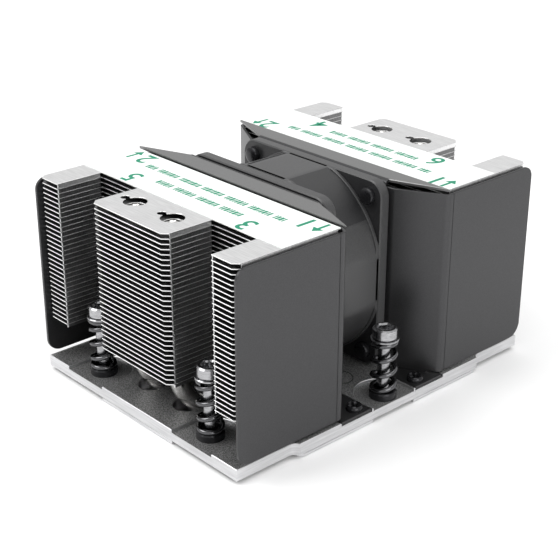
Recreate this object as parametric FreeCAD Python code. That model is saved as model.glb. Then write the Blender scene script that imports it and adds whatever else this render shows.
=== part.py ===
"""Two-tower CPU cooler for a 2U server board, with a fan between two fin stacks.

Frame: +Z up, Y along the air flow, X across it. The origin is in the middle of the underside
of the contact pad, which is the face that touches the processor. The front end is at -Y.
All lengths are in millimetres.
"""
import FreeCAD, Part
import math
import os
from FreeCAD import Vector

os.makedirs("parts", exist_ok=True)

ENDS = {"front": -1, "rear": 1}
SIDES = {"left": -1, "right": 1}

# Base plate
base_length = 118.0
base_mid_width = 92.4
base_end_width = 88.8
base_mid_length = 75.4
step_fillet = 3.0
plate_top = 4.7
pad_step = 1.0
pad_tongue_width = 33.4
pad_corner = 2.0
screw_relief = 8.6
pocket_sides = 16
slot_sides = 12
round_steps = 3

# Folded shroud sheet
sheet = 0.9
tab_seat = plate_top - sheet

# Cooler screws
corner_screw_x = 25.3
corner_screw_y = 52.0
mid_screw_x = 41.6
shank_radius = 1.9
shank_clearance = 0.08
ferrule_body_radius = 2.7
ferrule_flange_radius = 4.15
ferrule_flange_height = 2.2
ring_radius = 3.0
ring_height = 0.5
ring_gap = 0.1
tip_length = 0.3
screw_sides = 8
head_radius = 3.65
head_height = 3.3
head_chamfer = 0.4
socket_radius = 2.0
socket_depth = 2.2
washer_radius = 4.3
washer_height = 0.6
spring_radius = 3.4
spring_wire = 0.75
spring_height = 16.4
spring_turns = 4.5
spring_steps = 6
spring_sides = 4

# Heat pipes
pipe_x = 8.35
pipe_leg_y = 49.75
pipe_radius = 3.0
pipe_bend = 16.0
pipe_sides = 8
pipe_bend_steps = 5
pipe_floor = 0.9
pipe_run_height = 3.5
pipe_tip = 1.2
pipe_tip_gap = 1.0
pipe_slot_radius = 3.9
pipe_slot_reach = 1.2
pipe_fit = 0.1

# Fin stacks
fin_count = 31
fin_pitch = 1.49
fin_thickness = 0.3
lower_fin_count = 6
fin_top = 63.2
fin_inner_y = 21.5
lobe_half_width = 16.6
lobe_chamfer = 2.6
notch_width = 18.0
notch_y = 42.6
side_lobe_set_back = 0.9
wall_fin_gap = 0.2
fin_hole_sides = 4
top_hole_sides = 12
top_hole_radius = 3.45
solder_hole_radius = 1.3
solder_hole_offset = 4.7
label_thickness = 0.15

# Shrouds
wall_outer_x = 45.3
wall_end_y = 59.1
wall_bend_y = 20.6
wall_bottom = 5.4
wall_top = 62.3
wall_top_corner = 3.5
wall_bottom_corner = 4.5
wall_bend_radius = 2.0
shroud_top = 64.0
top_gap = 0.7
top_bend_radius = 1.5
top_panel_end_y = 20.7
plate_corner_x = 31.0
plate_bend_radius = 1.4
tab_near_y = 9.2
tab_edge_inset = 0.3
tab_inner_x = 32.0
tab_screw_x = 42.6
tab_screw_y = 13.0
tab_screw_head_radius = 2.5
tab_screw_head_height = 1.5
tab_screw_radius = 1.2
tab_screw_dome = 0.7
tab_screw_length = 3.4

# Fan
fan_width = 60.0
fan_height = 59.5
fan_depth = 25.0
fan_gap = 0.1
fan_flange = 3.5
fan_corner = 5.0
fan_housing_radius = 31.0
fan_bore_radius = 28.5
fan_bore_sides = 36
fan_hole_spacing = 50.0
fan_hole_radius = 1.7
fan_screw_radius = 1.45
fan_screw_head_radius = 2.6
fan_screw_head_height = 2.0
fan_plate_gap = 0.1
small_sides = 6
motor_mount_radius = 13.5
motor_mount_thickness = 2.0
strut_width = 3.0
strut_depth = 3.0
strut_count = 4
tube_outer_radius = 5.0
bearing_radius = 4.0
bearing_width = 3.0
bearing_inset = 0.5
shaft_radius = 1.5
shaft_clearance = 0.03
hub_radius = 14.5
hub_wall = 1.2
hub_front_inset = 1.0
hub_face = 1.6
hub_rear_inset = 4.2
hub_boss_radius = 3.0
yoke_wall = 0.8
magnet_wall = 1.7
magnet_length = 9.0
core_radius = 9.6
core_length = 6.0
core_yoke_radius = 6.4
core_pole_width = 3.0
core_shoe_width = 6.5
core_shoe_height = 1.0
board_radius = 11.0
board_thickness = 1.0
hub_sides = 14
round_sides = 12
bearing_sides = 10
blade_count = 7
blade_tip_gap = 0.7
blade_root_sink = 0.5
blade_thickness = 1.1
blade_root_span = 34.0
blade_tip_span = 46.0
blade_root_rise = 16.5
blade_tip_rise = 12.0
blade_camber = 0.16

# Places that follow from the sizes above
base_end_y = base_length / 2
end_underside = pad_step
pipe_run_z = pipe_floor + pipe_run_height - pipe_radius
wall_inner_x = wall_outer_x - sheet
fin_outer_x = wall_inner_x - wall_fin_gap
lobe_y = base_end_y
side_lobe_y = lobe_y - side_lobe_set_back
side_lobe_inner_x = lobe_half_width + notch_width
fin_lowest = fin_top - (fin_count - 1) * fin_pitch - fin_thickness
pipe_top = fin_top - pipe_tip_gap
fan_bottom = plate_top + fan_gap
fan_z = fan_bottom + fan_height / 2
fan_half = fan_depth / 2
flange_inner_y = fan_half - fan_flange
plate_near_y = fan_half + fan_plate_gap
plate_far_y = plate_near_y + sheet
spring_bottom = tab_seat + ferrule_flange_height
washer_bottom = spring_bottom + spring_height
head_bottom = washer_bottom + washer_height
ring_top = end_underside - ring_gap
ring_bottom = ring_top - ring_height
shank_bottom = ring_bottom - tip_length
ferrule_bore_radius = (shank_radius + shank_clearance) / math.cos(math.pi / screw_sides)
SCREWS = {
    1: (mid_screw_x, 0.0),
    2: (-mid_screw_x, 0.0),
    3: (corner_screw_x, -corner_screw_y),
    4: (-corner_screw_x, corner_screw_y),
    5: (-corner_screw_x, -corner_screw_y),
    6: (corner_screw_x, corner_screw_y),
}


# Building blocks
def save(name, shape):
    shape.exportStep(f"parts/{name}.step")


def circle_points(radius, sides, turn=0.0):
    """Corners of a regular polygon in a circle of the given radius; turn is in steps."""
    angles = [2 * math.pi * (k + turn) / sides for k in range(sides)]
    return [(radius * math.cos(a), radius * math.sin(a)) for a in angles]


def outline(points, z=0.0):
    corners = [Vector(x, y, z) for x, y in points]
    return Part.makePolygon(corners + corners[:1])


def prism(points, bottom, top, holes=()):
    """Straight solid over a polygon in XY, with polygon holes."""
    face = Part.Face([outline(points, bottom)] + [outline(hole, bottom) for hole in holes])
    return face.extrude(Vector(0, 0, top - bottom))


def shifted(points, x, y):
    return [(px + x, py + y) for px, py in points]


def round_bar(radius, sides, bottom, top, x=0.0, y=0.0, bore=0.0):
    hole = [shifted(circle_points(bore, sides, 0.5), x, y)] if bore else []
    return prism(shifted(circle_points(radius, sides, 0.5), x, y), bottom, top, hole)


def box(x0, x1, y0, y1, z0, z1):
    return Part.makeBox(x1 - x0, y1 - y0, z1 - z0, Vector(x0, y0, z0))


def rounded_block(width, height, near, far, radius, steps):
    points = []
    for quarter in range(4):
        for k in range(steps + 1):
            angle = math.pi / 2 * (quarter + k / steps)
            side_x = 1 if quarter in (0, 3) else -1
            side_y = 1 if quarter in (0, 1) else -1
            x = side_x * (width / 2 - radius) + radius * math.cos(angle)
            y = side_y * (height / 2 - radius) + radius * math.sin(angle)
            points.append((x, y))
    return prism(points, near, far)


def fused(shapes):
    return shapes[0].fuse(shapes[1:]).removeSplitter()


def along_y(shape):
    """Turns a shape drawn along +Z about the origin so that it runs along +Y on the fan's axis."""
    turned = shape.copy()
    turned.rotate(Vector(0, 0, 0), Vector(1, 0, 0), -90)
    turned.translate(Vector(0, 0, fan_z))
    return turned


def to_end(shape, end):
    """The shape drawn for the rear end, carried to the front end if end is -1."""
    return shape if end > 0 else shape.mirror(Vector(0, 0, 0), Vector(0, 1, 0))


def on_both_sides(shape):
    return [shape, shape.mirror(Vector(0, 0, 0), Vector(1, 0, 0))]


def in_quarters(shape):
    """The shape drawn at +X +Y and its three mirror images."""
    return [to_end(half, end) for half in on_both_sides(shape) for end in (1, -1)]


def facet(*points):
    return Part.Face(Part.makePolygon([*points, points[0]]))


def closed_solid(faces):
    solid = Part.makeSolid(Part.makeShell(faces))
    if solid.Volume < 0:
        solid.reverse()
    return solid


def skinned(rings):
    """Closed solid of flat facets over a row of point rings with equal counts."""
    faces = []
    for near, far in zip(rings, rings[1:]):
        for k in range(len(near)):
            n = (k + 1) % len(near)
            faces.append(facet(near[k], near[n], far[n]))
            faces.append(facet(near[k], far[n], far[k]))
    for ring in (rings[0], rings[-1]):
        faces += [facet(ring[0], ring[k], ring[k + 1]) for k in range(1, len(ring) - 1)]
    return closed_solid(faces)


def turned_part(profile, sides, bored=False):
    """Many-sided turned part about +Z from (radius, height) steps; bored closes the profile."""
    rings = []
    for radius, z in profile:
        rings.append([Vector(x, y, z) for x, y in circle_points(radius, sides, 0.5)])
    pairs = list(zip(rings, rings[1:]))
    if bored:
        pairs.append((rings[-1], rings[0]))
    faces = []
    for near, far in pairs:
        for k in range(sides):
            n = (k + 1) % sides
            faces.append(facet(near[k], near[n], far[n], far[k]))
    if not bored:
        faces += [facet(*rings[0]), facet(*rings[-1])]
    return closed_solid(faces)


# Base plate
def base_quarter():
    """Quarter of the plate in plan: the middle is wider than the ends, with a round step."""
    mid_x = base_mid_width / 2
    end_x = base_end_width / 2
    full_turn = math.acos(1 - (mid_x - end_x) / step_fillet)
    centre_x = end_x + step_fillet
    centre_y = base_mid_length / 2 + step_fillet * math.sin(full_turn)
    points = [(0, 0), (mid_x, 0)]
    for k in range(round_steps + 1):
        turn = full_turn * (1 - k / round_steps)
        x = centre_x - step_fillet * math.cos(turn)
        points.append((x, centre_y - step_fillet * math.sin(turn)))
    points += [(end_x, base_end_y), (0, base_end_y)]
    return prism(points, end_underside, plate_top)


def contact_pad():
    """Thicker part of the underside: full width in the middle, a narrow tongue at each end."""
    half_x = base_mid_width / 2
    half_y = base_mid_length / 2
    wide = rounded_block(2 * half_x, 2 * half_y, 0, pad_step, pad_corner, round_steps)
    tongue_x = pad_tongue_width / 2
    return [wide, box(-tongue_x, tongue_x, -base_end_y, base_end_y, 0, pad_step)]


def round_pocket(bottom, top, x, y):
    return prism(shifted(circle_points(screw_relief, pocket_sides), x, y), bottom, top)


def corner_screw_pocket():
    past_end = base_end_y + 1
    return fused(
        [
            round_pocket(tab_seat, plate_top + 1, corner_screw_x, corner_screw_y),
            box(
                corner_screw_x - screw_relief,
                corner_screw_x + screw_relief,
                corner_screw_y,
                past_end,
                tab_seat,
                plate_top + 1,
            ),
        ]
    )


def mid_screw_pocket(bottom, top):
    past_side = base_mid_width / 2 + 1
    return fused(
        [
            round_pocket(bottom, top, mid_screw_x, 0),
            box(mid_screw_x, past_side, -screw_relief, screw_relief, bottom, top),
        ]
    )


def tab_outline(inset, edge_x):
    """Plan of a shroud tab at +X +Y; inset shrinks its near side."""
    return [
        (tab_inner_x, tab_near_y + inset),
        (edge_x, tab_near_y + inset),
        (edge_x, wall_bend_y + sheet - inset),
        (wall_outer_x - sheet, wall_bend_y + sheet - inset),
        (tab_inner_x, plate_far_y + sheet - inset),
    ]


def pipe_slot():
    """Channel of one pipe at +X +Y, with a wider round-ended slot where the pipe bends up."""
    slot_end_y = pipe_leg_y + pipe_slot_reach - pipe_slot_radius
    bend_y = pipe_leg_y - pipe_bend
    narrow = pipe_radius + pipe_fit
    top = plate_top + 1
    return fused(
        [
            prism(
                shifted(circle_points(pipe_slot_radius, slot_sides), pipe_x, slot_end_y),
                pipe_floor,
                top,
            ),
            box(
                pipe_x - pipe_slot_radius,
                pipe_x + pipe_slot_radius,
                bend_y,
                slot_end_y,
                pipe_floor,
                top,
            ),
            box(pipe_x - narrow, pipe_x + narrow, 0, bend_y, pipe_floor, top),
        ]
    )


def tab_screw_hole(bottom):
    return round_bar(
        tab_screw_radius, screw_sides, bottom, plate_top + 1, tab_screw_x, tab_screw_y
    )


def base_plate():
    body = fused(in_quarters(base_quarter()) + contact_pad())
    cuts = in_quarters(corner_screw_pocket())
    cuts += on_both_sides(mid_screw_pocket(tab_seat, plate_top + 1))
    cuts += on_both_sides(mid_screw_pocket(-1, pad_step))
    cuts += in_quarters(prism(tab_outline(0, base_mid_width / 2 + 1), tab_seat, plate_top + 1))
    cuts += in_quarters(pipe_slot())
    for x, y in SCREWS.values():
        cuts.append(round_bar(ferrule_body_radius, screw_sides, -1, plate_top, x, y))
    cuts += in_quarters(tab_screw_hole(plate_top - tab_screw_length))
    return body.cut(fused(cuts)).removeSplitter()


# Heat pipes
def pipe_ring(y, z, angle):
    """Ring of points round the pipe; angle is how far the pipe has turned from vertical."""
    ring = []
    for across, out in circle_points(pipe_radius, pipe_sides, 0.5):
        point_y = y + out * math.cos(angle)
        point_z = z + out * math.sin(angle)
        ring.append(Vector(across, point_y, max(point_z, pipe_floor)))
    return ring


def heat_pipe():
    """U-shaped pipe in the YZ plane: two closed legs and a run pressed flat underneath."""
    tip = pipe_ring(pipe_leg_y, pipe_top, 0)
    leg_axis = Vector(0, pipe_leg_y, 0)
    rings = []
    small_tip = [leg_axis + (p - leg_axis) * 0.5 for p in tip]
    rings.append([Vector(p.x, p.y, pipe_top) for p in small_tip])
    rings.append([Vector(p.x, p.y, pipe_top - pipe_tip) for p in tip])
    centre_y = pipe_leg_y - pipe_bend
    centre_z = pipe_run_z + pipe_bend
    for k in range(pipe_bend_steps + 1):
        angle = math.pi / 2 * k / pipe_bend_steps
        y = centre_y + pipe_bend * math.cos(angle)
        z = centre_z - pipe_bend * math.sin(angle)
        rings.append(pipe_ring(y, z, -angle))
    far_side = [[Vector(p.x, -p.y, p.z) for p in ring] for ring in reversed(rings)]
    return skinned(rings + far_side)


# Fin stacks
def fin_outline():
    """Plan of a rear fin: a middle lobe and two side lobes with cut corners, and two notches."""
    c = lobe_chamfer
    half = [
        (lobe_half_width, notch_y),
        (side_lobe_inner_x, notch_y),
        (side_lobe_inner_x, side_lobe_y - c),
        (side_lobe_inner_x + c, side_lobe_y),
        (fin_outer_x - c, side_lobe_y),
        (fin_outer_x, side_lobe_y - c),
        (fin_outer_x, fin_inner_y),
    ]
    lobe = [(lobe_half_width - c, lobe_y), (lobe_half_width, lobe_y - c)]
    right = lobe + half
    left = [(-x, y) for x, y in reversed(right)]
    return right + left


def fin_holes(radius, sides):
    hole = circle_points(radius / math.cos(math.pi / sides), sides, 0.5)
    return [shifted(hole, side * pipe_x, pipe_leg_y) for side in (-1, 1)]


def fin_blank(sides, radius):
    return prism(fin_outline(), -fin_thickness, 0, fin_holes(radius, sides))


def top_fin():
    """The top fin has wider pipe holes, each with a small notch for solder paste."""
    fin = fin_blank(top_hole_sides, top_hole_radius)
    notches = [
        round_bar(
            solder_hole_radius, small_sides, -1, 1, side * pipe_x - solder_hole_offset, pipe_leg_y
        )
        for side in (-1, 1)
    ]
    necks = [
        box(
            side * pipe_x - solder_hole_offset,
            side * pipe_x,
            pipe_leg_y - solder_hole_radius / 2,
            pipe_leg_y + solder_hole_radius / 2,
            -1,
            1,
        )
        for side in (-1, 1)
    ]
    return fin.cut(fused(notches + necks))


def fin_stack(first, last):
    """Fins first to last, counted from the lowest; the topmost fin has its own holes."""
    plain = fin_blank(fin_hole_sides, pipe_radius + pipe_fit)
    fins = []
    for k in range(first, last):
        fin = top_fin() if k == fin_count - 1 else plain.copy()
        fin.translate(Vector(0, 0, fin_top - (fin_count - 1 - k) * fin_pitch))
        fins.append(fin)
    return Part.makeCompound(fins)


def label():
    return box(-fin_outer_x, fin_outer_x, fin_inner_y, notch_y, fin_top, fin_top + label_thickness)


# Shrouds
def crossing(point, direction, other_point, other_direction):
    """Where two lines in a plane cross."""
    gap_x = other_point[0] - point[0]
    gap_y = other_point[1] - point[1]
    turn = direction[0] * other_direction[1] - direction[1] * other_direction[0]
    reach = (gap_x * other_direction[1] - gap_y * other_direction[0]) / turn
    return (point[0] + direction[0] * reach, point[1] + direction[1] * reach)


def rounded_line(points, radii):
    """Points of a line in a plane with each inner corner rounded in short chords."""
    line = [points[0]]
    for before, corner, after, radius in zip(points, points[1:], points[2:], radii):
        start = math.atan2(before[1] - corner[1], before[0] - corner[0])
        sweep = math.atan2(after[1] - corner[1], after[0] - corner[0]) - start
        sweep = (sweep + math.pi) % (2 * math.pi) - math.pi
        reach = radius / math.sin(abs(sweep) / 2)
        middle = start + sweep / 2
        centre = (corner[0] + reach * math.cos(middle), corner[1] + reach * math.sin(middle))
        spread = math.copysign(math.pi - abs(sweep), sweep)
        for k in range(round_steps + 1):
            angle = middle + math.pi + spread * (0.5 - k / round_steps)
            x = centre[0] + radius * math.cos(angle)
            line.append((x, centre[1] + radius * math.sin(angle)))
    return line + [points[-1]]


def wall_panel():
    """Side wall of the rear shroud at +X, with round corners at its free end."""
    start_y = wall_bend_y + wall_bend_radius
    corners = [
        (start_y, wall_bottom),
        (wall_end_y, wall_bottom),
        (wall_end_y, wall_top),
        (start_y, wall_top),
    ]
    line = rounded_line(corners, [wall_bottom_corner, wall_top_corner])
    face = Part.Face(Part.makePolygon([Vector(wall_inner_x, y, z) for y, z in line + line[:1]]))
    return face.extrude(Vector(sheet, 0, 0))


def slant_direction():
    run_x = wall_outer_x - plate_corner_x
    run_y = wall_bend_y - plate_near_y
    length = math.hypot(run_x, run_y)
    return (run_x / length, run_y / length)


def bent_panel():
    """Wall root, slanted panel and half of the fan plate of the rear shroud at +X."""
    slant = slant_direction()
    outer = [
        (wall_outer_x, wall_bend_y + wall_bend_radius),
        (wall_outer_x, wall_bend_y),
        (plate_corner_x, plate_near_y),
        (0, plate_near_y),
    ]
    on_slant = (wall_outer_x - slant[1] * sheet, wall_bend_y + slant[0] * sheet)
    inner = [
        (wall_inner_x, wall_bend_y + wall_bend_radius),
        crossing((wall_inner_x, 0), (0, 1), on_slant, slant),
        crossing((0, plate_far_y), (1, 0), on_slant, slant),
        (0, plate_far_y),
    ]
    near = rounded_line(outer, [wall_bend_radius, plate_bend_radius + sheet])
    far = rounded_line(inner, [wall_bend_radius - sheet, plate_bend_radius])
    return prism(near + far[::-1], wall_bottom, wall_top)


def bent_foot():
    """Strip that carries the slanted panel down to its tab, clear of both bends."""
    slant = slant_direction()
    inset = 2 * wall_bend_radius
    start = (plate_corner_x + slant[0] * inset, plate_near_y + slant[1] * inset)
    stop = (wall_outer_x - slant[0] * inset, wall_bend_y - slant[1] * inset)
    back = [(x - slant[1] * sheet, y + slant[0] * sheet) for x, y in (stop, start)]
    return prism([start, stop] + back, tab_seat, wall_bottom)


def top_panel():
    """Level top panel of the rear shroud and the bend that joins it to the fan plate."""
    narrow_x = plate_corner_x - 2 * top_bend_radius
    bend_y = plate_near_y + top_bend_radius
    panel = prism(
        [
            (-narrow_x, bend_y),
            (narrow_x, bend_y),
            (wall_outer_x, top_panel_end_y),
            (-wall_outer_x, top_panel_end_y),
        ],
        shroud_top - sheet,
        shroud_top,
    )
    near = [(plate_near_y, wall_top), (plate_near_y, shroud_top), (bend_y, shroud_top)]
    far = [(plate_far_y, wall_top), (plate_far_y, shroud_top - sheet), (bend_y, shroud_top - sheet)]
    near = rounded_line(near, [top_bend_radius])
    far = rounded_line(far, [top_bend_radius - sheet])
    loop = near[:-1] + far[::-1][1:]
    face = Part.Face(Part.makePolygon([Vector(-narrow_x, y, z) for y, z in loop + loop[:1]]))
    return [panel, face.extrude(Vector(2 * narrow_x, 0, 0))]


def rear_shroud():
    tab = prism(
        tab_outline(tab_edge_inset, base_mid_width / 2 - tab_edge_inset), tab_seat, plate_top
    )
    solids = top_panel()
    for half in (wall_panel(), bent_panel(), bent_foot(), tab):
        solids += on_both_sides(half)
    shroud = fused(solids)
    cuts = [along_y(round_bar(fan_bore_radius, fan_bore_sides, 0, wall_end_y))]
    cuts += [along_y(bar) for bar in fan_corner_bars(fan_screw_radius, 0, wall_end_y)]
    cuts += on_both_sides(tab_screw_hole(0))
    return shroud.cut(cuts).removeSplitter()


# Fan
def fan_corner_bars(radius, near, far):
    """Bars at the fan's four corner holes, drawn along +Z about the fan's axis."""
    half = fan_hole_spacing / 2
    return [
        round_bar(radius, small_sides, near, far, x, y) for x in (-half, half) for y in (-half, half)
    ]


def fan_frame():
    flanges = [
        rounded_block(
            fan_width, fan_height, near, near + fan_flange, fan_corner, round_steps
        )
        for near in (-fan_half, flange_inner_y)
    ]
    drum = round_bar(fan_housing_radius, fan_bore_sides, -flange_inner_y, flange_inner_y)
    housing = drum.common(
        box(
            -fan_width / 2,
            fan_width / 2,
            -fan_height / 2,
            fan_height / 2,
            -flange_inner_y,
            flange_inner_y,
        )
    )
    bore = round_bar(fan_bore_radius, fan_bore_sides, -fan_half, fan_half)
    shell = fused(flanges + [housing]).cut(bore)
    mount_near = fan_half - motor_mount_thickness
    mount = round_bar(motor_mount_radius, hub_sides, mount_near, fan_half)
    strut = box(
        -strut_width / 2,
        strut_width / 2,
        tube_outer_radius,
        fan_bore_radius + strut_width / 2,
        fan_half - strut_depth,
        fan_half,
    )
    struts = []
    for k in range(strut_count):
        arm = strut.copy()
        arm.rotate(Vector(0, 0, 0), Vector(0, 0, 1), 360 / strut_count * k + 45)
        struts.append(arm.cut(round_bar(motor_mount_radius, hub_sides, 0, mount_near)))
    tube = round_bar(tube_outer_radius, round_sides, tube_front, fan_half)
    frame = fused([shell, mount, tube] + struts)
    seat = round_bar(bearing_radius, bearing_sides, tube_front, mount_near)
    return along_y(frame.cut([seat] + fan_corner_bars(fan_hole_radius, -fan_half, fan_half)))


hub_front = -fan_half + hub_front_inset
hub_inside = hub_front + hub_face
hub_rear = fan_half - hub_rear_inset
board_far = fan_half - motor_mount_thickness
board_near = board_far - board_thickness
tube_front = hub_inside + 2.0
core_near = board_near - 1.5 - core_length
magnet_near = core_near - (magnet_length - core_length) / 2
yoke_outer = hub_radius - hub_wall
magnet_outer = yoke_outer - yoke_wall
magnet_inner = magnet_outer - magnet_wall
front_bearing_near = tube_front + bearing_inset
rear_bearing_near = board_far - bearing_inset - bearing_width
shaft_rear = rear_bearing_near + bearing_width


def blade():
    """One twisted, cambered blade, drawn about +Z and rooted inside the hub's wall."""
    tip_radius = fan_bore_radius - blade_tip_gap
    root_radius = hub_radius - blade_root_sink
    middle = (hub_front + hub_rear) / 2
    rings = []
    for share in (0.0, 0.5, 1.0):
        radius = root_radius + (tip_radius - root_radius) * share
        span = math.radians(blade_root_span + (blade_tip_span - blade_root_span) * share)
        rise = blade_root_rise + (blade_tip_rise - blade_root_rise) * share
        chord = math.hypot(span * radius, rise)
        faces = []
        for side in (-0.5, 0.5):
            edge = []
            for along in (0.0, 0.5, 1.0):
                lift = side * blade_thickness + blade_camber * rise * math.sin(math.pi * along)
                angle = span * (along - 0.5) - lift * rise / chord / radius
                z = middle + rise * (along - 0.5) + lift * span * radius / chord
                edge.append(Vector(radius * math.cos(angle), radius * math.sin(angle), z))
            faces.append(edge)
        rings.append(faces[0] + faces[1][::-1])
    return skinned(rings)


def fan_impeller():
    cup = round_bar(hub_radius, hub_sides, hub_front, hub_rear)
    hollow = round_bar(yoke_outer, round_sides, hub_inside, hub_rear)
    boss = round_bar(hub_boss_radius, bearing_sides, hub_inside - hub_face / 2, tube_front - 0.6)
    first = blade()
    blades = []
    for k in range(blade_count):
        turned = first.copy()
        turned.rotate(Vector(0, 0, 0), Vector(0, 0, 1), 360 / blade_count * k)
        blades.append(turned)
    body = cup.cut(hollow).fuse(blades + [boss])
    bore = round_bar(shaft_radius, bearing_sides, hub_front + hub_face / 2, hub_rear)
    return along_y(body.cut([bore, hollow.cut(boss)]))


def rotor_yoke():
    return along_y(
        round_bar(yoke_outer, round_sides, magnet_near, hub_rear, bore=magnet_outer)
    )


def rotor_magnet():
    return along_y(
        round_bar(
            magnet_outer,
            round_sides,
            magnet_near,
            magnet_near + magnet_length,
            bore=magnet_inner,
        )
    )


def rotor_shaft():
    return along_y(
        round_bar(shaft_radius, bearing_sides, hub_front + hub_face / 2, shaft_rear)
    )


def bearing(near):
    bore = (shaft_radius + shaft_clearance) / math.cos(math.pi / bearing_sides)
    return along_y(round_bar(bearing_radius, bearing_sides, near, near + bearing_width, bore=bore))


def turned_copies(shape, count):
    copies = []
    for k in range(count):
        copy = shape.copy()
        copy.rotate(Vector(0, 0, 0), Vector(0, 0, 1), 360 / count * k)
        copies.append(copy)
    return copies


def stator_core():
    """Laminated ring on the bearing tube with four wide-footed poles."""
    far = core_near + core_length
    ring = round_bar(core_yoke_radius, round_sides, core_near, far, bore=tube_outer_radius)
    half_pole = core_pole_width / 2
    half_shoe = core_shoe_width / 2
    shoe_y = core_radius - core_shoe_height
    start = core_yoke_radius * math.cos(math.pi / round_sides) - 0.3
    right = [(half_pole, start), (half_pole, shoe_y), (half_shoe, shoe_y), (half_shoe, core_radius)]
    left = [(-x, y) for x, y in reversed(right)]
    poles = turned_copies(prism(right + left, core_near, far), 4)
    return along_y(fused([ring] + poles))


def stator_windings():
    """One coil round each pole, as a rectangular ring."""
    gap = 0.05
    wire = 0.9
    start = core_yoke_radius + gap
    stop = core_radius - core_shoe_height - gap
    far = core_near + core_length
    inner = core_pole_width / 2 + gap
    outer = inner + wire
    block = box(-outer, outer, start, stop, core_near - gap - wire, far + gap + wire)
    hole = box(-inner, inner, start - 1, stop + 1, core_near - gap, far + gap)
    return along_y(Part.makeCompound(turned_copies(block.cut(hole), 4)))


def fan_circuit_board():
    return along_y(
        round_bar(board_radius, round_sides, board_near, board_far, bore=tube_outer_radius)
    )


# Fasteners
def fan_screws():
    """Screws through each fan flange into the shroud, with their heads between the flanges."""
    screws = []
    for end in ENDS.values():
        near = flange_inner_y - fan_screw_head_height
        heads = fan_corner_bars(fan_screw_head_radius, near, flange_inner_y)
        shanks = fan_corner_bars(fan_screw_radius, flange_inner_y, plate_far_y)
        for head, shank in zip(heads, shanks):
            screws.append(to_end(along_y(head.fuse(shank)), end))
    return Part.makeCompound(screws)


def tab_screws():
    """Four screws with low domed heads that hold the shroud tabs in their pockets."""
    top = plate_top + tab_screw_head_height
    profile = [
        (tab_screw_radius, plate_top - tab_screw_length),
        (tab_screw_radius, plate_top),
        (tab_screw_head_radius, plate_top),
        (tab_screw_head_radius, top - tab_screw_dome),
        (tab_screw_head_radius - tab_screw_dome, top),
    ]
    screw = turned_part(profile, screw_sides)
    screw.translate(Vector(tab_screw_x, tab_screw_y, 0))
    return Part.makeCompound(in_quarters(screw))


def cooler_screw():
    """Captive screw about +Z: plain shank, round head and a driver socket."""
    top = head_bottom + head_height
    profile = [
        (shank_radius, shank_bottom),
        (shank_radius, head_bottom),
        (head_radius, head_bottom),
        (head_radius, top - head_chamfer),
        (head_radius - head_chamfer, top),
    ]
    socket = round_bar(socket_radius, 6, top - socket_depth, top)
    return turned_part(profile, screw_sides).cut(socket)


def coil_spring():
    """Round-wire compression spring about +Z between the ferrule and the washer."""
    closed = 2 * spring_wire
    rise = spring_height - 2 * spring_wire - 2 * closed * 0.5
    count = int(spring_turns * spring_steps)
    rings = []
    for k in range(count + 1):
        share = k / count
        turn = 2 * math.pi * spring_turns * share
        z = spring_bottom + spring_wire + coil_lift(share) * (spring_height - 2 * spring_wire)
        ring = []
        for out, up in circle_points(spring_wire, spring_sides):
            radius = spring_radius + out
            ring.append(Vector(radius * math.cos(turn), radius * math.sin(turn), z + up))
        rings.append(ring)
    return skinned(rings)


def coil_lift(share):
    """Share of the spring's rise at a share of its turns: the first and last turn lie flat."""
    flat = 0.7 / spring_turns
    return min(max((share - flat) / (1 - 2 * flat), 0.0), 1.0)


def ferrule():
    """Flanged sleeve pressed into the plate, as the seat of the spring and guide of the shank."""
    profile = [
        (ferrule_bore_radius, end_underside),
        (ferrule_body_radius, end_underside),
        (ferrule_body_radius, tab_seat),
        (ferrule_flange_radius, tab_seat),
        (ferrule_flange_radius, spring_bottom),
        (ferrule_bore_radius, spring_bottom),
    ]
    return turned_part(profile, screw_sides, bored=True)


def flat_ring(outer, inner, bottom, top):
    return turned_part(
        [(inner, bottom), (outer, bottom), (outer, top), (inner, top)], screw_sides, bored=True
    )


def washer():
    return flat_ring(washer_radius, ferrule_bore_radius, washer_bottom, head_bottom)


def retaining_ring():
    """Ring pushed on the end of the shank, which keeps the screw in the plate."""
    return flat_ring(ring_radius, shank_radius, ring_bottom, ring_top)


def main():
    save("base_plate", base_plate())
    pipe = heat_pipe()
    for name, side in SIDES.items():
        placed = pipe.copy()
        placed.translate(Vector(side * pipe_x, 0, 0))
        save(f"heat_pipe_{name}", placed)
    lower = fin_stack(0, lower_fin_count)
    upper = fin_stack(lower_fin_count, fin_count)
    shroud = rear_shroud()
    for name, end in ENDS.items():
        save(f"{name}_lower_fins", to_end(lower, end))
        save(f"{name}_upper_fins", to_end(upper, end))
        save(f"{name}_label", to_end(label(), end))
        save(f"{name}_shroud", to_end(shroud, end))
    save("fan_frame", fan_frame())
    save("fan_impeller", fan_impeller())
    save("rotor_yoke", rotor_yoke())
    save("rotor_magnet", rotor_magnet())
    save("rotor_shaft", rotor_shaft())
    save("front_bearing", bearing(front_bearing_near))
    save("rear_bearing", bearing(rear_bearing_near))
    save("stator_core", stator_core())
    save("stator_windings", stator_windings())
    save("fan_circuit_board", fan_circuit_board())
    save("fan_screws", fan_screws())
    save("tab_screws", tab_screws())
    hardware = {
        "cooler_screw": cooler_screw(),
        "screw_spring": coil_spring(),
        "screw_ferrule": ferrule(),
        "screw_washer": washer(),
        "retaining_ring": retaining_ring(),
    }
    for number, (x, y) in SCREWS.items():
        for kind, shape in hardware.items():
            placed = shape.copy()
            placed.translate(Vector(x, y, 0))
            save(f"{kind}_{number}", placed)


main()
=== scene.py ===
"""Looks of the server CPU cooler. Lengths are in millimetres until a mesh is made."""

import math

import bmesh
import bpy
from mathutils import Matrix, Vector
from mathutils.geometry import tessellate_polygon


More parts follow.
